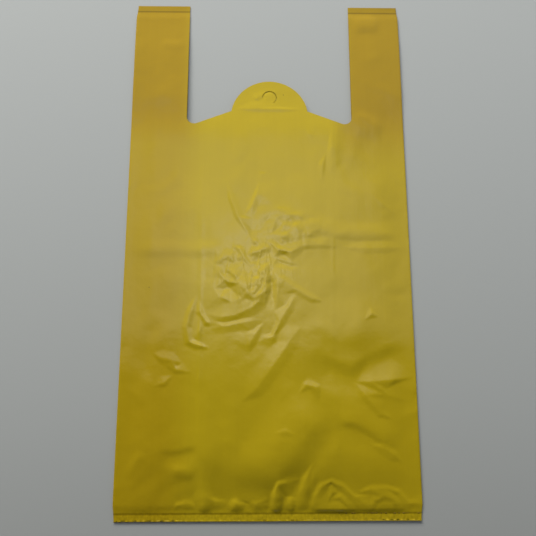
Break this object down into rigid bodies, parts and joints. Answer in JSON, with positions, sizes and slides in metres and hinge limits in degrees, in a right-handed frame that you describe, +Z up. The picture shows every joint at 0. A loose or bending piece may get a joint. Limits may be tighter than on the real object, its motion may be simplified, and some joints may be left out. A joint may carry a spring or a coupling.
{
  "type": "plastic carrier bag",
  "caption": "Yellow plastic vest carrier bag lying flat, with side gussets, welded bottom and handle ends, die-cut mouth and a hanging tab.",
  "frame": {"origin": "middle of the bag's footprint, on the surface that it lies on", "axes": "+X across the bag, +Y towards the handles, +Z up from the back panel to the front panel"},
  "size_m": [0.3002, 0.554, 0.0129],
  "materials": {
    "film": "gloss"
  },
  "bodies": {
    "root": {"carrier_bag": "film"}
  },
  "joints": []
}
